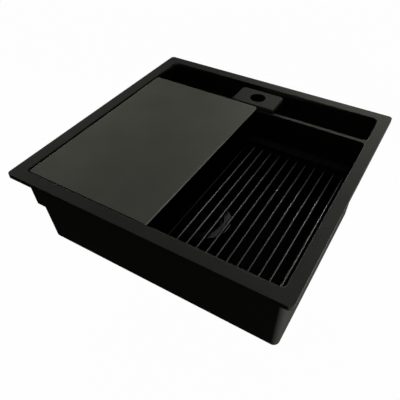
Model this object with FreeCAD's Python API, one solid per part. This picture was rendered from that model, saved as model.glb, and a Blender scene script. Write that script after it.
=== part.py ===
"""Drop-in workstation kitchen sink: a moulded granite-composite basin with a chopping board,
a roll-up draining mat, a basket waste, and a rear channel with its own outlet.

Millimetres.  The origin is the centre of the rim on the worktop plane, which is the underside
of the rim.  +X is to the right, +Y is to the wall behind the tap and +Z is up.
"""
import FreeCAD
import Part
import math
import os

Vector = FreeCAD.Vector

# ---- rim -------------------------------------------------------------------------------------
rim_width = 560.0            # overall, X
rim_depth = 550.0            # overall, Y
rim_thickness = 9.0
rim_border = 24.5            # flat land from the outer edge to the opening, front and back
rim_border_left = 26.0
rim_border_right = 23.3
rim_corner = 8.0
rim_outer_round = 0.5
rim_inner_round = 1.5
opening_front_corner = 6.0
opening_back_corner = 12.0

# ---- board ledges and rear channel -----------------------------------------------------------------
board_ledge_drop = 6.0       # from the rim's top face
front_ledge_width = 6.0
back_ledge_width = 9.5       # also the top of the divider between the bowl and the channel
ledge_edge_round = 1.0       # ledges' edges at the bowl and at the channel
channel_width = 80.5         # front to back
channel_depth = 45.0         # from the rim's top face
channel_floor_round = 6.0

# ---- tap pad ---------------------------------------------------------------------------------
pad_width = 100.0
pad_depth = 60.3
pad_corner = 8.0             # back corners only
pad_edge_round = 1.5
tap_hole_diameter = 35.0
tap_deck_thickness = 10.0

# ---- bowl ------------------------------------------------------------------------------------
bowl_depth = 158.0           # rim's top face to the floor
mat_ledge_depth = 76.0       # rim's top face to the lower ledge
side_draft = 1.5             # degrees
deep_draft = 3.0             # degrees, front and left walls below the lower ledge
front_outer_draft = 3.9      # degrees, outer face of the front wall
mat_ledge_left = 18.5
mat_ledge_front = 12.5
mat_ledge_back = 41.0
upper_bowl_corner = 10.0
deep_bowl_corner = 22.0
bowl_floor_round = 14.0

# ---- shell -----------------------------------------------------------------------------------
side_wall = 11.0
front_wall = 11.0
back_wall = 9.5
ledge_thickness = 8.5
floor_thickness = 12.5
channel_floor_thickness = 9.0
outer_corner = 11.5
outer_back_corner = 5.0      # deep bowl, behind
outer_bottom_round = 4.5
overcut = 60.0               # how far a cutting shape runs on past the basin

# ---- chopping board ----------------------------------------------------------------------------
board_width = 264.6          # X
board_front_gap = 1.7        # front edge of the board to the opening
board_back_gap = 4.0         # back edge of the board to the channel
board_thickness = 4.8
board_corner = 5.0
board_edge_round = 0.8
board_side_gap = 3.5         # board at rest to the left wall of the opening
board_seat_gap = 0.2         # under the board

# ---- roll-up mat -------------------------------------------------------------------------------
rod_count = 12
rod_pitch = 20.0
rod_diameter = 6.0
rod_engagement = 16.5        # length of rod inside each end strip
strip_width = 22.0
strip_web = 4.0              # thickness between the knuckles
strip_end_margin = 5.5       # end of the strip beyond the last rod's axis
knuckle_diameter = 8.0
mat_seat_gap = 0.2
mat_front_gap = 1.2          # mat to the front wall of the bowl
mat_back_gap = 1.7           # mat to the back wall of the bowl
mat_right_gap = 10.2         # mat at rest to the right wall of the bowl

# ---- basket waste ------------------------------------------------------------------------------
waste_hole_diameter = 90.0
flange_diameter = waste_hole_diameter + 24.0
waste_recess_diameter = flange_diameter + 2.0
waste_recess_depth = 3.0
sheet = 1.2                  # thickness of the pressed cup and basket
flange_gasket_thickness = 1.0
cup_mouth_diameter = waste_hole_diameter - 6.0
cup_diameter = waste_hole_diameter - 12.0
cup_depth = 46.0             # flange top to the cup's floor
cup_shoulder = 7.0
body_gasket_thickness = 3.0
clamp_flange_diameter = waste_hole_diameter + 22.0
body_flange_thickness = 4.0
body_wall = 3.0
body_gap = 2.8               # round the cup
body_diameter = cup_diameter + 2 * (sheet + body_gap + body_wall)
body_depth = 45.0            # below the sink's underside, to the funnel
funnel_depth = 16.0
outlet_diameter = 47.8       # G 1 1/2
outlet_wall = 3.5
outlet_length = 34.0
screw_diameter = 6.0
screw_head_diameter = 12.0
screw_head_height = 4.0
cup_drain_holes = 8
cup_drain_hole_diameter = 8.0
cup_drain_hole_circle = 30.0
basket_running_gap = 0.4
basket_rim_width = 3.0
basket_depth = 34.0
basket_floor_diameter = 62.0
basket_holes_per_row = 16
basket_hole_diameter = 3.6
seal_inner_diameter = 42.0
seal_outer_diameter = 58.0
knob_diameter = 20.0
knob_height = 7.0
knob_stem_diameter = 7.0
knob_rise = 9.0              # top of the knob above the bowl's floor

# ---- channel outlet, which is also the overflow ------------------------------------------------
outlet_hole_diameter = 32.0
outlet_hole_from_centre = 170.0   # to the right of the rim's centre
grate_recess_diameter = 48.0
grate_recess_depth = 2.0
grate_diameter = 46.0
grate_thickness = 1.6
grate_hole_diameter = 3.6
grate_hole_rows = (7, 14.0), (14, 23.0)   # number of holes and diameter of each circle
grate_screw_diameter = 5.0
grate_screw_head_diameter = 9.0
grate_screw_head_height = 2.0
channel_gasket_thickness = 2.5
tail_flange_diameter = 52.0
tail_flange_thickness = 3.0
tail_diameter = 30.0
tail_neck_diameter = 26.0
tail_wall = 2.0
tail_length = 34.0
pipe_diameter = 20.0
pipe_wall = 1.6
pipe_engagement = 12.0       # pipe inside the tail and inside the branch
pipe_bend_radius = 45.0      # on the pipe's axis
pipe_fit_gap = 0.1
nut_diameter = 36.0
nut_height = 15.0
nut_ribs = 12
nut_rib_diameter = 3.0
branch_reach = 34.0          # branch of the waste body beyond its wall
branch_drop = 24.0           # branch axis below the sink's underside
overflow_slot_width = 60.0
overflow_slot_height = 10.0
overflow_slot_above_floor = 6.0
overflow_slot_from_centre = 150.0   # to the left of the rim's centre

# ---- levels and places worked out from the above ---------------------------------------------------
rim_top = rim_thickness
board_ledge_z = rim_top - board_ledge_drop
mat_ledge_z = rim_top - mat_ledge_depth
bowl_floor_z = rim_top - bowl_depth
underside_z = bowl_floor_z - floor_thickness
channel_floor_z = rim_top - channel_depth
channel_underside_z = channel_floor_z - channel_floor_thickness
ledge_underside_z = mat_ledge_z - ledge_thickness

opening_left_x = -rim_width / 2 + rim_border_left
opening_right_x = rim_width / 2 - rim_border_right
opening_front_y = -rim_depth / 2 + rim_border
opening_back_y = rim_depth / 2 - rim_border
channel_front_y = opening_back_y - channel_width
bowl_front_y = opening_front_y + front_ledge_width
bowl_back_y = channel_front_y - back_ledge_width


def lean(height, degrees):
    """How far a drafted wall moves sideways over a height."""
    return height * math.tan(math.radians(degrees))


def bowl_left_x(z):
    """Inner face of the left wall of the upper bowl."""
    return opening_left_x + lean(board_ledge_z - z, side_draft)


def bowl_right_x(z):
    """Inner face of the right wall, which runs straight down to the bowl's floor."""
    return opening_right_x - lean(board_ledge_z - z, side_draft)


def bowl_back_wall_y(z):
    return bowl_back_y - lean(board_ledge_z - z, side_draft)


def bowl_front_wall_y(z):
    return bowl_front_y + lean(board_ledge_z - z, side_draft)


def deep_left_x(z):
    return bowl_left_x(mat_ledge_z) + mat_ledge_left + lean(mat_ledge_z - z, deep_draft)


def deep_front_y(z):
    return bowl_front_wall_y(mat_ledge_z) + mat_ledge_front + lean(mat_ledge_z - z, deep_draft)


def deep_back_y(z):
    return bowl_back_wall_y(mat_ledge_z) - mat_ledge_back - lean(mat_ledge_z - z, side_draft)


def outer_left_x(z):
    return bowl_left_x(z) - side_wall


def outer_right_x(z):
    return bowl_right_x(z) + side_wall


def outer_front_y(z):
    return bowl_front_y - front_wall + lean(board_ledge_z - z, front_outer_draft)


def outer_deep_left_x(z):
    return deep_left_x(z) - side_wall + 1.5


waste_x = (deep_left_x(bowl_floor_z) + bowl_right_x(bowl_floor_z)) / 2
waste_y = (deep_front_y(bowl_floor_z) + deep_back_y(bowl_floor_z)) / 2
tap_y = channel_front_y + pad_depth / 2
outlet_x = outlet_hole_from_centre
outlet_y = channel_front_y + channel_width / 2


# ---- helpers -----------------------------------------------------------------------------------
def tapered_block(x_low, x_high, y_low, y_high, z_low, z_high):
    """Flat-sided block whose four walls are given as functions of the height."""
    block = Part.makeWedge(x_low(z_low), z_low, -y_high(z_low), -y_high(z_high), x_low(z_high),
                           x_high(z_low), z_high, -y_low(z_low), -y_low(z_high), x_high(z_high))
    block.rotate(Vector(0, 0, 0), Vector(1, 0, 0), 90)
    return block


def flat(value):
    """A wall that stands upright."""
    return lambda z: value


def edges_where(shape, test):
    """Edges whose two ends both pass the test."""
    return [e for e in shape.Edges if len(e.Vertexes) == 2 and all(test(v.Point) for v in e.Vertexes)]


def near(a, b, tolerance=0.05):
    return abs(a - b) < tolerance


def is_upright(edge):
    ends = [v.Point for v in edge.Vertexes]
    return abs(ends[0].z - ends[1].z) > 2.0


def round_edges(shape, radius, edges):
    return shape.makeFillet(radius, edges)


def disc(diameter, z_low, z_high, x=0.0, y=0.0):
    return Part.makeCylinder(diameter / 2, z_high - z_low, Vector(x, y, z_low))


def ring(outer, inner, z_low, z_high, x=0.0, y=0.0):
    return disc(outer, z_low, z_high, x, y).cut(disc(inner, z_low - 1, z_high + 1, x, y))


def turned(profile, x=0.0, y=0.0):
    """Solid of revolution about the upright axis through (x, y); profile is (radius, z) points."""
    points = [Vector(r, 0, z) for r, z in profile]
    face = Part.Face(Part.makePolygon(points + points[:1]))
    solid = face.revolve(Vector(0, 0, 0), Vector(0, 0, 1), 360)
    solid.translate(Vector(x, y, 0))
    return solid


def around(count, radius, x, y, first=0.0):
    """Centres of a circle of equal things."""
    return [(x + radius * math.cos(first + 2 * math.pi * k / count),
             y + radius * math.sin(first + 2 * math.pi * k / count)) for k in range(count)]


# ---- basin -------------------------------------------------------------------------------------
def basin_outside():
    """Rim plate and the drafted outer shell: upper bowl, deep bowl and channel."""
    upper = tapered_block(outer_left_x, outer_right_x, outer_front_y,
                          lambda z: bowl_back_wall_y(z) + back_wall, ledge_underside_z, 0.0)
    deep = tapered_block(outer_deep_left_x, outer_right_x, outer_front_y,
                         lambda z: deep_back_y(z) + back_wall, underside_z, ledge_underside_z)
    channel = tapered_block(outer_left_x, outer_right_x, flat(bowl_back_y - outer_corner),
                            lambda z: opening_back_y + side_wall + lean(z, side_draft),
                            channel_underside_z, 0.0)
    upper = round_edges(upper, outer_corner, [e for e in upper.Edges if is_upright(e)])
    deep = round_edges(deep, outer_corner, [e for e in deep.Edges if is_upright(e)
                                            and e.Vertexes[0].Point.y < 0])
    deep = round_edges(deep, outer_back_corner, [e for e in deep.Edges if is_upright(e)
                                                 and e.Vertexes[0].Point.y > 0])
    deep = round_edges(deep, outer_bottom_round, edges_where(deep, lambda p: near(p.z, underside_z)))
    channel = round_edges(channel, outer_corner, [e for e in channel.Edges if is_upright(e)
                                                  and e.Vertexes[0].Point.y > channel_front_y])

    rim = Part.makeBox(rim_width, rim_depth, rim_thickness, Vector(-rim_width / 2, -rim_depth / 2, 0))
    rim = round_edges(rim, rim_corner, [e for e in rim.Edges if is_upright(e)])
    rim = round_edges(rim, rim_outer_round, edges_where(rim, lambda p: near(p.z, rim_top)))
    return rim.fuse([upper, deep, channel])


def upper_bowl_space():
    upper = tapered_block(bowl_left_x, bowl_right_x, bowl_front_wall_y,
                          bowl_back_wall_y, mat_ledge_z, board_ledge_z)
    return round_edges(upper, upper_bowl_corner, [e for e in upper.Edges if is_upright(e)])


def deep_bowl_space():
    deep = tapered_block(deep_left_x, bowl_right_x, deep_front_y, deep_back_y,
                         bowl_floor_z, mat_ledge_z)
    deep = round_edges(deep, deep_bowl_corner, [e for e in deep.Edges if is_upright(e)])
    return round_edges(deep, bowl_floor_round, edges_where(deep, lambda p: near(p.z, bowl_floor_z)))


def channel_space():
    """The rear channel, full length and open upwards; the tap pad stands in it as an island."""
    space = Part.makeBox(opening_right_x - opening_left_x, channel_width, channel_depth + overcut,
                         Vector(opening_left_x, channel_front_y, channel_floor_z))
    space = round_edges(space, opening_back_corner, [e for e in space.Edges if is_upright(e)])
    return round_edges(space, channel_floor_round,
                       edges_where(space, lambda p: near(p.z, channel_floor_z)))


def opening_space():
    """The shallow opening in the rim, down to the board ledges and back into the channel."""
    middle_y = channel_front_y + channel_width / 2
    space = Part.makeBox(opening_right_x - opening_left_x, middle_y - opening_front_y, overcut,
                         Vector(opening_left_x, opening_front_y, board_ledge_z))
    front = [e for e in space.Edges if is_upright(e) and e.Vertexes[0].Point.y < 0]
    return round_edges(space, opening_front_corner, front)


def tap_pad():
    """Island for the tap: plain front face on the divider, round back corners, rounded top edge."""
    foot = channel_floor_z - channel_floor_thickness / 2
    pad = Part.makeBox(pad_width, pad_depth + ledge_edge_round, rim_top - foot,
                       Vector(-pad_width / 2, channel_front_y - ledge_edge_round, foot))
    pad = round_edges(pad, pad_corner, [e for e in pad.Edges if is_upright(e)
                                        and e.Vertexes[0].Point.y > channel_front_y])
    return round_edges(pad, pad_edge_round, edges_where(pad, lambda p: near(p.z, rim_top)))


def tap_room():
    """Room under the tap pad for the tap's shank and nut, open below, and the hole above it."""
    side = pad_width / 2 - 9
    y_low = bowl_back_wall_y(0) + back_wall + 1
    y_high = channel_front_y + pad_depth - 9
    z_high = rim_top - tap_deck_thickness
    room = Part.makeBox(2 * side, y_high - y_low, z_high - channel_underside_z + 5,
                        Vector(-side, y_low, channel_underside_z - 5))
    room = round_edges(room, 6.0, [e for e in room.Edges if is_upright(e)])
    return room.fuse(disc(tap_hole_diameter, z_high - 1, rim_top + 5, 0, tap_y))


def waste_opening():
    """Hole in the bowl's floor with the recess that takes the cup's flange."""
    return disc(waste_hole_diameter, underside_z - 5, bowl_floor_z + 1, waste_x, waste_y).fuse(
        disc(waste_recess_diameter, bowl_floor_z - waste_recess_depth, bowl_floor_z + 1, waste_x, waste_y))


def outlet_opening():
    """Hole in the channel's floor with the recess that takes the grate."""
    return disc(outlet_hole_diameter, channel_underside_z - 5, channel_floor_z + 1, outlet_x, outlet_y).fuse(
        disc(grate_recess_diameter, channel_floor_z - grate_recess_depth, channel_floor_z + 1,
             outlet_x, outlet_y))


def overflow_slot():
    """Slot through the divider, from the bowl to the channel."""
    z_low = channel_floor_z + overflow_slot_above_floor
    y_low = bowl_back_wall_y(channel_floor_z) - 5
    slot = Part.makeBox(overflow_slot_width, channel_front_y + 10 - y_low, overflow_slot_height,
                        Vector(-overflow_slot_from_centre - overflow_slot_width / 2, y_low, z_low))
    along = [e for e in slot.Edges if near(e.Vertexes[0].Point.x, e.Vertexes[1].Point.x)
             and near(e.Vertexes[0].Point.z, e.Vertexes[1].Point.z)]
    return round_edges(slot, overflow_slot_height / 2 - 0.5, along)


def ledge_edges(basin, y):
    """Long straight edges of a board ledge at one distance from the wall behind the tap."""
    return edges_where(basin, lambda p: near(p.z, board_ledge_z) and near(p.y, y))


def sink_basin():
    opening = opening_space().fuse(channel_space()).removeSplitter()
    basin = basin_outside().cut(opening)
    inner_edge = edges_where(basin, lambda p: near(p.z, rim_top)
                             and opening_left_x - 1 < p.x < opening_right_x + 1
                             and opening_front_y - 1 < p.y < opening_back_y + 1)
    basin = round_edges(basin, rim_inner_round, inner_edge)
    basin = round_edges(basin, ledge_edge_round, ledge_edges(basin, channel_front_y))
    basin = basin.cut([upper_bowl_space(), deep_bowl_space()])
    basin = round_edges(basin, ledge_edge_round,
                        ledge_edges(basin, bowl_front_y) + ledge_edges(basin, bowl_back_y))
    basin = basin.fuse(tap_pad())
    return basin.cut([tap_room(), waste_opening(), outlet_opening(), overflow_slot()])


# ---- chopping board ------------------------------------------------------------------------------
def chopping_board():
    z = board_ledge_z + board_seat_gap
    x = opening_left_x + board_side_gap
    y = opening_front_y + board_front_gap
    length = channel_front_y - board_back_gap - y
    board = Part.makeBox(board_width, length, board_thickness, Vector(x, y, z))
    board = round_edges(board, board_corner, [e for e in board.Edges if is_upright(e)])
    return round_edges(board, board_edge_round, [e for e in board.Edges if not is_upright(e)])


# ---- roll-up mat ---------------------------------------------------------------------------------
def rod_x(k):
    """Axis of rod k; the last rod is nearest the right wall."""
    right_end = bowl_right_x(mat_ledge_z) - mat_right_gap
    return right_end - strip_end_margin - (rod_count - 1 - k) * rod_pitch


rod_axis_z = mat_ledge_z + mat_seat_gap + knuckle_diameter / 2
mat_front_y = bowl_front_wall_y(mat_ledge_z) + mat_front_gap
mat_back_y = bowl_back_wall_y(mat_ledge_z) - mat_back_gap


def mat_rod(k):
    """Coated solid rod, cut square; its ends sit in the two strips."""
    y_low = mat_front_y + strip_width - rod_engagement
    y_high = mat_back_y - strip_width + rod_engagement
    return Part.makeCylinder(rod_diameter / 2, y_high - y_low, Vector(rod_x(k), y_low, rod_axis_z),
                             Vector(0, 1, 0))


def mat_strip(y_low):
    """Moulded end strip: a thin web with a knuckle round the end of every rod."""
    x_low = rod_x(0) - strip_end_margin
    length = rod_x(rod_count - 1) + strip_end_margin - x_low
    web = Part.makeBox(length, strip_width, strip_web, Vector(x_low, y_low, rod_axis_z - strip_web / 2))
    along = [e for e in web.Edges if near(e.Vertexes[0].Point.x, e.Vertexes[1].Point.x)
             and near(e.Vertexes[0].Point.z, e.Vertexes[1].Point.z)]
    web = round_edges(web, strip_web / 2 - 0.2, along)
    knuckles = [Part.makeCylinder(knuckle_diameter / 2, strip_width, Vector(rod_x(k), y_low, rod_axis_z),
                                  Vector(0, 1, 0)) for k in range(rod_count)]
    return web.fuse(knuckles).cut([mat_rod(k) for k in range(rod_count)])


# ---- basket waste --------------------------------------------------------------------------------
flange_top_z = bowl_floor_z - waste_recess_depth + flange_gasket_thickness + sheet
cup_floor_z = flange_top_z - cup_depth
body_top_z = underside_z - body_gasket_thickness
body_floor_z = underside_z - body_depth


def waste_cup():
    """Pressed cup with a flat flange, a shoulder for the basket and a floor with drain holes."""
    mouth, side, flange = cup_mouth_diameter / 2, cup_diameter / 2, flange_diameter / 2
    shoulder_z = flange_top_z - cup_shoulder
    profile = [(flange, flange_top_z - sheet), (flange, flange_top_z), (mouth, flange_top_z),
               (side, shoulder_z), (side, cup_floor_z + 4), (side - 4, cup_floor_z), (0, cup_floor_z),
               (0, cup_floor_z - sheet), (side - 3.5, cup_floor_z - sheet),
               (side + sheet, cup_floor_z + 3.5), (side + sheet, shoulder_z),
               (mouth + sheet, flange_top_z - sheet)]
    cup = turned(profile, waste_x, waste_y)
    holes = [disc(cup_drain_hole_diameter, cup_floor_z - 5, cup_floor_z + 1, x, y)
             for x, y in around(cup_drain_holes, cup_drain_hole_circle / 2, waste_x, waste_y)]
    holes.append(disc(screw_diameter, cup_floor_z - 5, cup_floor_z + 1, waste_x, waste_y))
    return cup.cut(holes)


def flange_gasket():
    z = bowl_floor_z - waste_recess_depth
    return ring(flange_diameter - 2, waste_hole_diameter + 2, z, z + flange_gasket_thickness, waste_x, waste_y)


def body_gasket():
    return ring(clamp_flange_diameter, waste_hole_diameter + 2, body_top_z, underside_z, waste_x, waste_y)


def pipe_direction():
    """Unit vector, level, from the waste to the channel outlet."""
    way = Vector(outlet_x - waste_x, outlet_y - waste_y, 0)
    way.normalize()
    return way


branch_z = underside_z - branch_drop


def waste_body():
    """Lower body: clamp flange, bucket, funnel, threaded outlet, screw boss and side branch."""
    wide, throat, flange = body_diameter / 2, outlet_diameter / 2, clamp_flange_diameter / 2
    funnel_z = body_floor_z - funnel_depth
    outlet_z = funnel_z - outlet_length
    outside = turned([(0, body_top_z), (flange, body_top_z), (flange, body_top_z - body_flange_thickness),
                      (wide, body_top_z - body_flange_thickness), (wide, body_floor_z), (throat, funnel_z),
                      (throat, outlet_z), (0, outlet_z)], waste_x, waste_y)
    inside = turned([(0, body_top_z + 1), (wide - body_wall, body_top_z + 1), (wide - body_wall, body_floor_z + 1),
                     (throat - outlet_wall, funnel_z + 1), (throat - outlet_wall, outlet_z - 1),
                     (0, outlet_z - 1)], waste_x, waste_y)
    way = pipe_direction()
    bore = pipe_diameter + 2 * pipe_fit_gap
    start = Vector(waste_x, waste_y, branch_z)
    reach = wide + branch_reach
    outside = outside.fuse(Part.makeCylinder(bore / 2 + tail_wall, reach, start, way))
    inside = inside.fuse([Part.makeCylinder(bore / 2, pipe_engagement + 1, start + way * (reach - pipe_engagement),
                                            way),
                          Part.makeCylinder(pipe_diameter / 2 - pipe_wall, reach, start, way)])
    body = outside.cut(inside)
    boss = disc(screw_diameter + 8, body_floor_z - 8, body_floor_z + 8, waste_x, waste_y)
    arms = Part.makeBox(2 * wide - 4, 4, 10, Vector(waste_x - wide + 2, waste_y - 2, body_floor_z - 2))
    arms = arms.fuse(Part.makeBox(4, 2 * wide - 4, 10, Vector(waste_x - 2, waste_y - wide + 2, body_floor_z - 2)))
    hole = disc(screw_diameter, body_floor_z - 20, body_floor_z + 20, waste_x, waste_y)
    return body.fuse([arms, boss]).cut(hole)


def waste_screw():
    """Centre screw that pulls the body up against the cup."""
    head = disc(screw_head_diameter, cup_floor_z, cup_floor_z + screw_head_height, waste_x, waste_y)
    socket = disc(screw_head_diameter / 2, cup_floor_z + screw_head_height / 2,
                  cup_floor_z + screw_head_height + 1, waste_x, waste_y)
    shank = disc(screw_diameter, body_floor_z - 7, cup_floor_z + 0.5, waste_x, waste_y)
    return head.cut(socket).fuse(shank)


seal_bottom_z = cup_floor_z + basket_running_gap / 2
seal_height = 4.0
basket_floor_z = seal_bottom_z + seal_height


def waste_basket():
    """Perforated cup that lifts out; its rolled rim sits just inside the waste's shoulder."""
    top_z = basket_floor_z + basket_depth
    rim = cup_diameter / 2 - basket_running_gap
    wall = rim - basket_rim_width
    low = basket_floor_diameter / 2
    profile = [(0, basket_floor_z), (low, basket_floor_z), (wall, basket_floor_z + 6), (wall, top_z - sheet),
               (rim, top_z - sheet), (rim, top_z), (wall - sheet, top_z), (wall - sheet, basket_floor_z + 6 + sheet / 2),
               (low - sheet / 2, basket_floor_z + sheet), (0, basket_floor_z + sheet)]
    basket = turned(profile, waste_x, waste_y)
    holes = []
    for row, z in enumerate((basket_floor_z + 13, basket_floor_z + 22)):
        first = row * math.pi / basket_holes_per_row
        for k in range(basket_holes_per_row):
            angle = first + 2 * math.pi * k / basket_holes_per_row
            way = Vector(math.cos(angle), math.sin(angle), 0)
            start = Vector(waste_x, waste_y, z) + way * (wall - 6)
            holes.append(Part.makeCylinder(basket_hole_diameter / 2, 12, start, way))
    holes.append(disc(knob_stem_diameter - 2, basket_floor_z - 2, basket_floor_z + 3, waste_x, waste_y))
    return basket.cut(holes)


def basket_seal():
    """Rubber ring under the basket; it closes the cup's drain holes when the basket is down."""
    return ring(seal_outer_diameter, seal_inner_diameter, seal_bottom_z, basket_floor_z, waste_x, waste_y)


def basket_knob():
    top = bowl_floor_z + knob_rise
    stem, knob = knob_stem_diameter / 2, knob_diameter / 2
    foot = basket_floor_z + sheet
    profile = [(0, basket_floor_z), (stem - 1, basket_floor_z), (stem - 1, foot), (stem + 3, foot),
               (stem + 3, foot + 1.5), (stem, foot + 3), (stem, top - knob_height),
               (knob - 1.5, top - knob_height), (knob, top - knob_height + 1.5), (knob, top - 2),
               (knob - 2, top), (0, top)]
    return turned(profile, waste_x, waste_y)


# ---- channel outlet ------------------------------------------------------------------------------
grate_z = channel_floor_z - grate_recess_depth
tail_top_z = channel_underside_z - channel_gasket_thickness
tail_end_z = tail_top_z - tail_length
tail_step_z = tail_top_z - 12


def channel_grate():
    grate = disc(grate_diameter, grate_z, grate_z + grate_thickness, outlet_x, outlet_y)
    holes = [disc(grate_hole_diameter, grate_z - 1, grate_z + 5, x, y)
             for count, circle in grate_hole_rows for x, y in around(count, circle / 2, outlet_x, outlet_y)]
    holes.append(disc(grate_screw_diameter, grate_z - 1, grate_z + 5, outlet_x, outlet_y))
    return grate.cut(holes)


def grate_screw():
    top = grate_z + grate_thickness
    head = disc(grate_screw_head_diameter, top, top + grate_screw_head_height, outlet_x, outlet_y)
    shank = disc(grate_screw_diameter, tail_step_z + 1, top + 0.5, outlet_x, outlet_y)
    return head.fuse(shank)


def channel_gasket():
    return ring(tail_flange_diameter - 2, outlet_hole_diameter + 2, tail_top_z, channel_underside_z,
                outlet_x, outlet_y)


def channel_tail():
    """Tail below the channel: clamp flange, screw bridge and the spigot that takes the pipe."""
    flange, tail, neck = tail_flange_diameter / 2, tail_diameter / 2, tail_neck_diameter / 2
    bore = pipe_diameter / 2 + pipe_fit_gap
    outside = turned([(0, tail_top_z), (flange, tail_top_z), (flange, tail_top_z - tail_flange_thickness),
                      (tail, tail_top_z - tail_flange_thickness), (tail, tail_step_z), (neck, tail_step_z - 3),
                      (neck, tail_end_z), (0, tail_end_z)], outlet_x, outlet_y)
    stop_z = tail_end_z + pipe_engagement
    inside = turned([(0, tail_top_z + 1), (tail - tail_wall, tail_top_z + 1), (tail - tail_wall, tail_step_z),
                     (bore - pipe_wall, tail_step_z - 4), (bore - pipe_wall, stop_z), (bore, stop_z),
                     (bore, tail_end_z - 1), (0, tail_end_z - 1)], outlet_x, outlet_y)
    bridge = Part.makeBox(tail_diameter - 2, 8, 6, Vector(outlet_x - tail + 1, outlet_y - 4, tail_step_z))
    hole = disc(grate_screw_diameter, tail_step_z - 5, tail_top_z + 5, outlet_x, outlet_y)
    return outside.cut(inside).fuse(bridge).cut(hole)


def pipe_path():
    """Straight down from the tail, one bend, then level to the waste body's branch."""
    way = pipe_direction()
    start = Vector(outlet_x, outlet_y, tail_end_z + pipe_engagement)
    corner = Vector(outlet_x, outlet_y, branch_z)
    end = Vector(waste_x, waste_y, branch_z) + way * (body_diameter / 2 + branch_reach - pipe_engagement)
    r = pipe_bend_radius
    bend_start, bend_end = corner + Vector(0, 0, r), corner - way * r
    bulge = corner + (Vector(0, 0, r) - way * r) * (1 - math.sqrt(0.5))
    return Part.Wire([Part.makeLine(start, bend_start), Part.Arc(bend_start, bulge, bend_end).toShape(),
                      Part.makeLine(bend_end, end)])


def overflow_pipe():
    path = pipe_path()
    start = path.Vertexes[0].Point

    def tube(diameter):
        section = Part.Wire([Part.makeCircle(diameter / 2, start, Vector(0, 0, -1))])
        return path.makePipeShell([section], True, False)
    return tube(pipe_diameter).cut(tube(pipe_diameter - 2 * pipe_wall))


def pipe_nut(seat_diameter):
    """Union nut along +Z from z = 0: a ribbed ring that screws on the spigot and grips the pipe."""
    nut = disc(nut_diameter, 0, nut_height)
    ribs = [disc(nut_rib_diameter, 0, nut_height, x, y)
            for x, y in around(nut_ribs, nut_diameter / 2 - 0.3, 0, 0)]
    grip = 4.0
    return nut.fuse(ribs).cut([disc(seat_diameter, grip, nut_height + 1),
                               disc(pipe_diameter + 2 * pipe_fit_gap, -1, grip + 1)])


def pipe_nut_upper():
    nut = pipe_nut(tail_neck_diameter)
    nut.translate(Vector(outlet_x, outlet_y, tail_end_z - 4.0))
    return nut


def pipe_nut_lower():
    way = pipe_direction()
    branch_outside = pipe_diameter + 2 * pipe_fit_gap + 2 * tail_wall
    nut = pipe_nut(branch_outside)
    end = Vector(waste_x, waste_y, branch_z) + way * (body_diameter / 2 + branch_reach + 4.0)
    nut.Placement = FreeCAD.Placement(end, FreeCAD.Rotation(Vector(0, 0, 1), way * -1))
    return nut


# ---- the set of pieces ---------------------------------------------------------------------------
pieces = {
    "sink_basin": sink_basin(),
    "chopping_board": chopping_board(),
    "mat_front_strip": mat_strip(mat_front_y),
    "mat_back_strip": mat_strip(mat_back_y - strip_width),
    "waste_cup": waste_cup(),
    "flange_gasket": flange_gasket(),
    "body_gasket": body_gasket(),
    "waste_body": waste_body(),
    "waste_screw": waste_screw(),
    "waste_basket": waste_basket(),
    "basket_seal": basket_seal(),
    "basket_knob": basket_knob(),
    "channel_grate": channel_grate(),
    "grate_screw": grate_screw(),
    "channel_gasket": channel_gasket(),
    "channel_tail": channel_tail(),
    "overflow_pipe": overflow_pipe(),
    "pipe_nut_upper": pipe_nut_upper(),
    "pipe_nut_lower": pipe_nut_lower(),
}
for k in range(rod_count):
    pieces["mat_rod_%02d" % (k + 1)] = mat_rod(k)

os.makedirs("parts", exist_ok=True)
for name, shape in pieces.items():
    shape = shape.removeSplitter()
    if len(shape.Solids) == 1:
        shape = shape.Solids[0]
    box = shape.BoundBox
    print("%-18s %d solid  valid %s  %9.1f cm3  x %.1f..%.1f  y %.1f..%.1f  z %.1f..%.1f" % (
        name, len(shape.Solids), shape.isValid(), shape.Volume / 1000,
        box.XMin, box.XMax, box.YMin, box.YMax, box.ZMin, box.ZMax))
    shape.exportStep("parts/%s.step" % name)
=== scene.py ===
"""Looks for a drop-in workstation kitchen sink: a matt black stone-composite basin with a
charcoal chopping board, a roll-up draining mat, a basket waste and a rear channel.

Metres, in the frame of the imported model: +X right, +Y back, +Z up, origin at the rim's centre
on the worktop plane.
"""
import math

import bpy
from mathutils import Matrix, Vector


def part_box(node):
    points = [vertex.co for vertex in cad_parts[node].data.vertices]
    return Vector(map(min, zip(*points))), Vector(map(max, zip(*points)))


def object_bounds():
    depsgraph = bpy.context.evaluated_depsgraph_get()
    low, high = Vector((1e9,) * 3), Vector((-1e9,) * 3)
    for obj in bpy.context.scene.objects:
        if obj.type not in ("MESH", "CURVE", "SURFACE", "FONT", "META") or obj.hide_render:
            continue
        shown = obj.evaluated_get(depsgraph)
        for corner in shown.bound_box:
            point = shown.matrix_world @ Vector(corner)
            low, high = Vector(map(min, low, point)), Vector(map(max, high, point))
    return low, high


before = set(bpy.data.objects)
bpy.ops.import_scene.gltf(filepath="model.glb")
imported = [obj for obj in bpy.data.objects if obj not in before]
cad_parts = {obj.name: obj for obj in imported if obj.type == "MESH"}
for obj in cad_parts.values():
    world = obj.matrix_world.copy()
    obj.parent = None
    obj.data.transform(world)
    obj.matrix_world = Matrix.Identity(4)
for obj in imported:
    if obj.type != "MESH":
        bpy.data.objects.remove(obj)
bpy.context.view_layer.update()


# ---- Camera ------------------------------------------------------------------------------
# A standing cook's view from the front right, looking down into the bowl.  The lens and the
# place come from the four corners of the 560 x 550 mm rim.
LENS, SENSOR_WIDTH = 40.225, 36.0        # mm
SHIFT = (0.001, -0.001)                  # share of the sensor's width
NEAREST, FARTHEST = 0.02, 50.0           # what the camera takes in, m
EYE = (0.34766, -0.63059, 0.53209)       # m
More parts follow.
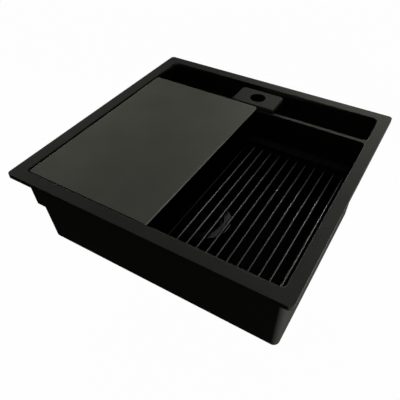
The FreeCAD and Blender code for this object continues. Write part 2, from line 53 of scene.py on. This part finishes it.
EYE_TURN = (46.774, 0.138, 31.028)       # degrees about X, Y and Z

camera_data = bpy.data.cameras.new("camera")
camera_data.lens = LENS
camera_data.sensor_width = SENSOR_WIDTH
camera_data.shift_x, camera_data.shift_y = SHIFT
camera_data.clip_start, camera_data.clip_end = NEAREST, FARTHEST
camera = bpy.data.objects.new("camera", camera_data)
camera.location = EYE
camera.rotation_euler = [math.radians(angle) for angle in EYE_TURN]
bpy.context.collection.objects.link(camera)
bpy.context.scene.camera = camera


# ---- Basin -------------------------------------------------------------------------------
# One moulding of quartz sand bound in black acrylic resin.  The cast face is dead matt and
# slightly sandy, so it mirrors nothing; a painted highlight makes the rim's outer edge paler.
def linear(hex_code):
    """sRGB hex colour as the linear values that the shaders take, by the sRGB curve."""
    out = []
    for k in (0, 2, 4):
        c = int(hex_code[k:k + 2], 16) / 255.0
        out.append(c / 12.92 if c <= 0.04045 else ((c + 0.055) / 1.055) ** 2.4)
    return (*out, 1.0)


def add(tree, kind, inputs=None, **settings):
    """Adds a node.  Inputs are other nodes' outputs to link, or plain values; settings are the
    node's own properties, or inputs by name with _ for a space."""
    node = tree.nodes.new(kind)
    for name, value in settings.items():
        if hasattr(node, name):
            setattr(node, name, value)
        else:
            node.inputs[name.replace("_", " ")].default_value = value
    for name, source in (inputs or {}).items():
        if isinstance(source, bpy.types.NodeSocket):
            tree.links.new(source, node.inputs[name])
        else:
            node.inputs[name].default_value = source
    return node


def new_material(name, **settings):
    """A node material with only a Principled shader, set as asked and joined to the output."""
    material = bpy.data.materials.new(name)
    material.use_nodes = True
    tree = material.node_tree
    tree.nodes.clear()
    shader = add(tree, "ShaderNodeBsdfPrincipled", **settings)
    add(tree, "ShaderNodeOutputMaterial", {"Surface": shader.outputs[0]})
    return material, tree, shader


def dress(material, *nodes):
    """Gives CAD nodes a material."""
    for name in nodes:
        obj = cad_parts[name]
        obj.data.materials.clear()
        obj.data.materials.append(material)


GRAIN = 0.0009                           # quartz grain, m
CLOUD = 0.035                            # broad unevenness of the cast face, m
SAND_HEIGHT = 0.00015                    # how far the grains stand out, m
ARRIS = 0.0008                           # width of the rim's outer edge that carries the painted highlight, m
# The third grey is a painted highlight for the rim's outer edge, paler than the cast face.
RESIN_BLACK, QUARTZ_GREY, RIM_HIGHLIGHT_GREY = "242422", "32322f", "51514e"
QUARTZ_SHARE = 0.8                       # of the quartz colour, at most; the cloud thins it
CAST_ROUGHNESS = (0.48, 0.58)

composite, tree, shader = new_material("cast_quartz_composite", Specular_IOR_Level=0.0)
where = add(tree, "ShaderNodeTexCoord")
grains = add(tree, "ShaderNodeTexNoise", {"Vector": where.outputs["Object"]},
             Scale=1 / GRAIN, Detail=2.0, Roughness=0.6)
cloud = add(tree, "ShaderNodeTexNoise", {"Vector": where.outputs["Object"]},
            Scale=1 / CLOUD, Detail=3.0)
pale = add(tree, "ShaderNodeMapRange", {"Value": grains.outputs["Fac"]},
           From_Min=0.35, From_Max=0.75, To_Max=QUARTZ_SHARE)
pale = add(tree, "ShaderNodeMath", {0: pale.outputs[0], 1: cloud.outputs["Fac"]},
           operation="MULTIPLY")
colour = add(tree, "ShaderNodeMix", {"Factor": pale.outputs[0], "A": linear(RESIN_BLACK),
                                     "B": linear(QUARTZ_GREY)}, data_type="RGBA")

# The painted highlight lies within ARRIS of the rim's outside, where the face turns from the
# upright side, whose normal has a Z of 0, to the flat top, whose normal has a Z of 1.
facing = add(tree, "ShaderNodeNewGeometry")
up = add(tree, "ShaderNodeSeparateXYZ", {0: facing.outputs["True Normal"]})
place = add(tree, "ShaderNodeSeparateXYZ", {0: where.outputs["Object"]})
rim_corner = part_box("sink_basin")[1]
outermost = []
for axis, half in (("X", rim_corner.x), ("Y", rim_corner.y)):
    off_centre = add(tree, "ShaderNodeMath", {0: place.outputs[axis]}, operation="ABSOLUTE")
    beyond = add(tree, "ShaderNodeMath", {0: off_centre.outputs[0], 1: half - ARRIS},
                 operation="GREATER_THAN")
    outermost.append(beyond.outputs[0])
edge = add(tree, "ShaderNodeMath", {0: outermost[0], 1: outermost[1]}, operation="MAXIMUM")
not_upright = add(tree, "ShaderNodeMapRange", {"Value": up.outputs["Z"]},
                  From_Min=0.05, From_Max=0.2)
not_flat = add(tree, "ShaderNodeMapRange", {"Value": up.outputs["Z"]},
               From_Min=0.995, From_Max=0.97)
for mask in (not_upright, not_flat):
    edge = add(tree, "ShaderNodeMath", {0: edge.outputs[0], 1: mask.outputs[0]},
               operation="MULTIPLY")
# Painted highlight: the rim's outer edge takes a paler grey to stand for the light it catches.
rim_highlight = add(tree, "ShaderNodeMix", {"Factor": edge.outputs[0], "A": colour.outputs["Result"],
                                     "B": linear(RIM_HIGHLIGHT_GREY)}, data_type="RGBA")
tree.links.new(rim_highlight.outputs["Result"], shader.inputs["Base Color"])

gloss = add(tree, "ShaderNodeMapRange", {"Value": cloud.outputs["Fac"]}, From_Min=0.3,
            From_Max=0.7, To_Min=CAST_ROUGHNESS[0], To_Max=CAST_ROUGHNESS[1])
tree.links.new(gloss.outputs[0], shader.inputs["Roughness"])
sand = add(tree, "ShaderNodeBump", {"Height": grains.outputs["Fac"],
                                    "Normal": facing.outputs["True Normal"]},
           Strength=0.25, Distance=SAND_HEIGHT)
tree.links.new(sand.outputs[0], shader.inputs["Normal"])
dress(composite, "sink_basin")


# ---- Chopping board ----------------------------------------------------------------------
# A thin slab of pressed paper and resin, charcoal right through, with no shine.  The top has
# faint drifts of fibre; the milled edge is smoother and carries a painted highlight, paler
# grey.
FIBRE = 0.0012                           # a fibre bundle, m; coarser than real so that it shows
FIBRE_SQUEEZE = 0.22                     # along Y, so bundles run four to five times as long
DRIFT = 1 / 14                           # a drift of fibre, m
NAP_HEIGHT = 0.0001                      # how far the fibres stand out, m
# The third grey is a painted highlight for every face that turns from the flat top: milled edge
# and sides.
FIBRE_DARK, FIBRE_PALE, EDGE_HIGHLIGHT_GREY = "3b3b36", "41413c", "62635c"
EDGE_ROUGHNESS, TOP_ROUGHNESS = 0.30, 0.55

board, tree, shader = new_material("pressed_paper_composite", Specular_IOR_Level=0.0)
where = add(tree, "ShaderNodeTexCoord")
along = add(tree, "ShaderNodeMapping", {"Vector": where.outputs["Object"]},
            Scale=(1.0, FIBRE_SQUEEZE, 1.0))
fibres = add(tree, "ShaderNodeTexNoise", {"Vector": along.outputs[0]},
             Scale=1 / FIBRE, Detail=3.0)
drift = add(tree, "ShaderNodeTexNoise", {"Vector": where.outputs["Object"]},
            Scale=1 / DRIFT, Detail=2.0)
pale = add(tree, "ShaderNodeMath", {0: fibres.outputs["Fac"], 1: drift.outputs["Fac"]},
           operation="MULTIPLY")
pale = add(tree, "ShaderNodeMapRange", {"Value": pale.outputs[0]},
           From_Min=0.12, From_Max=0.42)
colour = add(tree, "ShaderNodeMix", {"Factor": pale.outputs[0], "A": linear(FIBRE_DARK),
                                     "B": linear(FIBRE_PALE)}, data_type="RGBA")
facing = add(tree, "ShaderNodeNewGeometry")
up = add(tree, "ShaderNodeSeparateXYZ", {0: facing.outputs["True Normal"]})
# Painted highlight: faces that turn away from the flat top take a paler grey for the light they
# catch.
edge_highlight_mask = add(tree, "ShaderNodeMapRange", {"Value": up.outputs["Z"]},
             From_Min=0.98, From_Max=0.9)
edge = add(tree, "ShaderNodeMix", {"Factor": edge_highlight_mask.outputs[0], "A": colour.outputs["Result"],
                                   "B": linear(EDGE_HIGHLIGHT_GREY)}, data_type="RGBA")
tree.links.new(edge.outputs["Result"], shader.inputs["Base Color"])
gloss = add(tree, "ShaderNodeMapRange", {"Value": up.outputs["Z"]}, From_Min=0.2,
            From_Max=0.98, To_Min=EDGE_ROUGHNESS, To_Max=TOP_ROUGHNESS)
tree.links.new(gloss.outputs[0], shader.inputs["Roughness"])
nap = add(tree, "ShaderNodeBump", {"Height": fibres.outputs["Fac"],
                                   "Normal": facing.outputs["True Normal"]},
          Strength=0.15, Distance=NAP_HEIGHT)
tree.links.new(nap.outputs[0], shader.inputs["Normal"])
dress(board, "chopping_board")


# ---- Mat rods ----------------------------------------------------------------------------
# Twelve steel rods in a thin black coating, smooth enough to carry a narrow streak of light
# along their length.
RODS = ["mat_rod_%02d" % (k + 1) for k in range(12)]
WEAR = 1 / 260                           # a patch of wear in the coating, m
COATING_BLACK, COATING_WORN = "040404", "0a0a0a"
COATING_ROUGHNESS = (0.25, 0.28)

coating, tree, shader = new_material("black_coated_steel", Specular_IOR_Level=0.06)
where = add(tree, "ShaderNodeTexCoord")
wear = add(tree, "ShaderNodeTexNoise", {"Vector": where.outputs["Object"]},
           Scale=1 / WEAR, Detail=2.0)
colour = add(tree, "ShaderNodeMix", {"Factor": wear.outputs["Fac"], "A": linear(COATING_BLACK),
                                     "B": linear(COATING_WORN)}, data_type="RGBA")
tree.links.new(colour.outputs["Result"], shader.inputs["Base Color"])
gloss = add(tree, "ShaderNodeMapRange", {"Value": wear.outputs["Fac"]},
            To_Min=COATING_ROUGHNESS[0], To_Max=COATING_ROUGHNESS[1])
tree.links.new(gloss.outputs[0], shader.inputs["Roughness"])
dress(coating, *RODS)


# ---- Mat end strips ----------------------------------------------------------------------
# Moulded black silicone, with a knuckle round the end of each rod.  It is dead matt and takes
# a little dust in its pores.
PORE = 1 / 900                           # spacing of the pores, m; coarser than real, to show
PORE_DEPTH = 0.0001                      # m
SILICONE_BLACK, SILICONE_DUSTY = "0a0a0a", "141414"

silicone, tree, shader = new_material("moulded_silicone", Specular_IOR_Level=0.05,
                                      Roughness=0.7)
where = add(tree, "ShaderNodeTexCoord")
pores = add(tree, "ShaderNodeTexNoise", {"Vector": where.outputs["Object"]},
            Scale=1 / PORE, Detail=2.0)
colour = add(tree, "ShaderNodeMix", {"Factor": pores.outputs["Fac"],
                                     "A": linear(SILICONE_BLACK),
                                     "B": linear(SILICONE_DUSTY)}, data_type="RGBA")
tree.links.new(colour.outputs["Result"], shader.inputs["Base Color"])
skin = add(tree, "ShaderNodeBump", {"Height": pores.outputs["Fac"]},
           Strength=0.2, Distance=PORE_DEPTH)
tree.links.new(skin.outputs[0], shader.inputs["Normal"])
dress(silicone, "mat_front_strip", "mat_back_strip")


# ---- Waste cup, basket, knob and grate ---------------------------------------------------
# Pressed and turned stainless steel with a dark vapour coating.  Fine turning lines run round
# the drain's axis and draw the highlight out into an arc; on the grate they pass for brushing.
LINE_PITCH = 0.0008                      # turning lines, m; coarser than real so that they show
VAPOUR_DARK, VAPOUR_PALE = "161617", "242426"
VAPOUR_ROUGHNESS = (0.42, 0.56)

gunmetal, tree, shader = new_material("dark_coated_stainless_steel", Metallic=1.0)
low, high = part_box("waste_cup")
drain = (low + high) / 2
where = add(tree, "ShaderNodeTexCoord")
centred = add(tree, "ShaderNodeVectorMath", {0: where.outputs["Object"],
                                             1: (drain.x, drain.y, 0.0)},
              operation="SUBTRACT")
level = add(tree, "ShaderNodeVectorMath", {0: centred.outputs[0], 1: (1.0, 1.0, 0.0)},
            operation="MULTIPLY")
radius = add(tree, "ShaderNodeVectorMath", {0: level.outputs[0]}, operation="LENGTH")
lines = add(tree, "ShaderNodeTexNoise", {"W": radius.outputs["Value"]},
            noise_dimensions="1D", Scale=1 / LINE_PITCH, Detail=3.0)
colour = add(tree, "ShaderNodeMix", {"Factor": lines.outputs["Fac"], "A": linear(VAPOUR_DARK),
                                     "B": linear(VAPOUR_PALE)}, data_type="RGBA")
tree.links.new(colour.outputs["Result"], shader.inputs["Base Color"])
gloss = add(tree, "ShaderNodeMapRange", {"Value": lines.outputs["Fac"]},
            To_Min=VAPOUR_ROUGHNESS[0], To_Max=VAPOUR_ROUGHNESS[1])
tree.links.new(gloss.outputs[0], shader.inputs["Roughness"])
dress(gunmetal, "waste_cup", "waste_basket", "basket_knob", "channel_grate")


# ---- Gaskets and seal --------------------------------------------------------------------
# Cut and moulded rings of black rubber, squeezed between the basin and the waste fittings.
# The rubber is dull, with a patchy grey bloom.
BLOOM = 1 / 180                          # a patch of bloom, m
RUBBER_BLACK, RUBBER_BLOOM = "141414", "232322"

rubber, tree, shader = new_material("moulded_rubber", Specular_IOR_Level=0.25, Roughness=0.65)
where = add(tree, "ShaderNodeTexCoord")
bloom = add(tree, "ShaderNodeTexNoise", {"Vector": where.outputs["Object"]},
            Scale=1 / BLOOM, Detail=3.0)
colour = add(tree, "ShaderNodeMix", {"Factor": bloom.outputs["Fac"], "A": linear(RUBBER_BLACK),
                                     "B": linear(RUBBER_BLOOM)}, data_type="RGBA")
tree.links.new(colour.outputs["Result"], shader.inputs["Base Color"])
dress(rubber, "flange_gasket", "body_gasket", "channel_gasket", "basket_seal")


# ---- Waste body, tail, pipe and nuts -----------------------------------------------------
# Injection-moulded black polypropylene: an even satin skin from the spark-eroded mould, with a
# very slight orange peel.
PEEL = 0.0015                            # spacing of the orange peel, m
PEEL_HEIGHT = 0.0001                     # m
PLASTIC_BLACK, PLASTIC_PALE = "1c1c1d", "282829"
PLASTIC_ROUGHNESS = (0.38, 0.5)

polypropylene, tree, shader = new_material("moulded_polypropylene", Specular_IOR_Level=0.4)
where = add(tree, "ShaderNodeTexCoord")
peel = add(tree, "ShaderNodeTexNoise", {"Vector": where.outputs["Object"]},
           Scale=1 / PEEL, Detail=1.0)
colour = add(tree, "ShaderNodeMix", {"Factor": peel.outputs["Fac"], "A": linear(PLASTIC_BLACK),
                                     "B": linear(PLASTIC_PALE)}, data_type="RGBA")
tree.links.new(colour.outputs["Result"], shader.inputs["Base Color"])
gloss = add(tree, "ShaderNodeMapRange", {"Value": peel.outputs["Fac"]},
            To_Min=PLASTIC_ROUGHNESS[0], To_Max=PLASTIC_ROUGHNESS[1])
tree.links.new(gloss.outputs[0], shader.inputs["Roughness"])
skin = add(tree, "ShaderNodeBump", {"Height": peel.outputs["Fac"]},
           Strength=0.15, Distance=PEEL_HEIGHT)
tree.links.new(skin.outputs[0], shader.inputs["Normal"])
dress(polypropylene, "waste_body", "channel_tail", "overflow_pipe", "pipe_nut_upper",
      "pipe_nut_lower")


# ---- Screws ------------------------------------------------------------------------------
# Turned stainless steel, bright, with fine marks left by the tool.  One holds the cup to the
# waste body and the other the grate to its tail.
TOOL_MARK = 0.000625                     # m; coarser than real
STEEL_GREY, STEEL_BRIGHT = "b4b4b6", "c8c8ca"
STEEL_ROUGHNESS = (0.22, 0.36)

stainless, tree, shader = new_material("turned_stainless_steel", Metallic=1.0)
where = add(tree, "ShaderNodeTexCoord")
marks = add(tree, "ShaderNodeTexNoise", {"Vector": where.outputs["Object"]},
            Scale=1 / TOOL_MARK, Detail=2.0)
colour = add(tree, "ShaderNodeMix", {"Factor": marks.outputs["Fac"], "A": linear(STEEL_GREY),
                                     "B": linear(STEEL_BRIGHT)}, data_type="RGBA")
tree.links.new(colour.outputs["Result"], shader.inputs["Base Color"])
gloss = add(tree, "ShaderNodeMapRange", {"Value": marks.outputs["Fac"]},
            To_Min=STEEL_ROUGHNESS[0], To_Max=STEEL_ROUGHNESS[1])
tree.links.new(gloss.outputs[0], shader.inputs["Roughness"])
dress(stainless, "waste_screw", "grate_screw")


# ---- Floor -------------------------------------------------------------------------------
# Studio paper just under the waste.  It looks white to the camera and in reflections and keeps
# a trace of the sink's shadow, but it is grey to the lamps and throws little light back up.
FLOOR_DROP = 0.002                       # below the lowest point of the sink, m
FLOOR_REACH = 12.0                       # m each way
PAPER_GREY = "5a5a5a"
WHITE_SHARE = 0.985                      # the rest is the lit paper, with its shadow


def looked_at(tree):
    """1 for rays that look, from the camera, off gloss or through glass, and 0 for the rest."""
    ray = add(tree, "ShaderNodeLightPath")
    seen = ray.outputs["Is Camera Ray"]
    for other in ("Is Glossy Ray", "Is Transmission Ray"):
        seen = add(tree, "ShaderNodeMath", {0: seen, 1: ray.outputs[other]},
                   operation="MAXIMUM").outputs[0]
    return seen


floor_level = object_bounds()[0].z - FLOOR_DROP
corners = [(x * FLOOR_REACH, y * FLOOR_REACH, floor_level)
           for x, y in ((-1, -1), (1, -1), (1, 1), (-1, 1))]
floor_mesh = bpy.data.meshes.new("floor")
floor_mesh.from_pydata(corners, [], [(0, 1, 2, 3)])
floor = bpy.data.objects.new("floor", floor_mesh)
bpy.context.collection.objects.link(floor)

paper, tree, shader = new_material("white_studio_paper", Base_Color=linear(PAPER_GREY),
                                   Roughness=0.9)
white = add(tree, "ShaderNodeEmission", Strength=1.0)
share = add(tree, "ShaderNodeMath", {0: looked_at(tree), 1: WHITE_SHARE}, operation="MULTIPLY")
mixed = add(tree, "ShaderNodeMixShader", {0: share.outputs[0], 1: shader.outputs[0],
                                          2: white.outputs[0]})
tree.links.new(mixed.outputs[0], tree.nodes["Material Output"].inputs["Surface"])
floor_mesh.materials.append(paper)


# ---- Light -------------------------------------------------------------------------------
# Low boxes at the left and behind draw the rim, and a small one level with the rim lights the
# right wall.  A high one behind reaches into the bowl, and another beside it shows only as a
# reflection, in the streaks along the rods.  A faint sky fills in.
SKY_STRENGTH = 0.04
WHITE = (1.0, 1.0, 1.0, 1.0)


def soft_box(name, place, aim, size, watts, spread=180):
    """A rectangular lamp that faces a point; a grid may narrow its beam to spread degrees."""
    lamp = bpy.data.lights.new(name, "AREA")
    lamp.shape = "RECTANGLE"
    lamp.size, lamp.size_y = size
    lamp.energy = watts
    lamp.spread = math.radians(spread)
    obj = bpy.data.objects.new(name, lamp)
    obj.location = place
    obj.rotation_euler = (Vector(aim) - Vector(place)).to_track_quat("-Z", "Y").to_euler()
    bpy.context.collection.objects.link(obj)
    return obj


soft_box("box_left", place=(-1.20, 0.60, 0.35), aim=(-0.35, -0.35, 0.0),
         size=(0.3, 0.2), watts=15.5, spread=90)
soft_box("box_back", place=(-0.25, 1.20, 0.40), aim=(0.40, 0.20, 0.0),
         size=(0.4, 0.2), watts=6.9, spread=45)
soft_box("box_right", place=(1.3, -0.25, 0.0), aim=(0.28, -0.25, 0.0),
         size=(0.1, 0.12), watts=30.0)
soft_box("box_high", place=(-1.6, 3.05, 2.8), aim=(0.0, 0.0, 0.0),
         size=(0.25, 0.25), watts=9.0)
glint = soft_box("box_glint", place=(-0.82, 2.60, 3.25), aim=(0.0, 0.0, 0.0),
                 size=(0.5, 0.5), watts=175.0)
glint.visible_diffuse = False

world = bpy.data.worlds.new("studio")
world.use_nodes = True
tree = world.node_tree
tree.nodes.clear()
sky = add(tree, "ShaderNodeBackground", Color=WHITE, Strength=SKY_STRENGTH)
backdrop = add(tree, "ShaderNodeBackground", Color=WHITE, Strength=1.0)
mixed = add(tree, "ShaderNodeMixShader", {0: looked_at(tree), 1: sky.outputs[0],
                                          2: backdrop.outputs[0]})
add(tree, "ShaderNodeOutputWorld", {"Surface": mixed.outputs[0]})
bpy.context.scene.world = world
bpy.context.scene.view_settings.view_transform = "Standard"
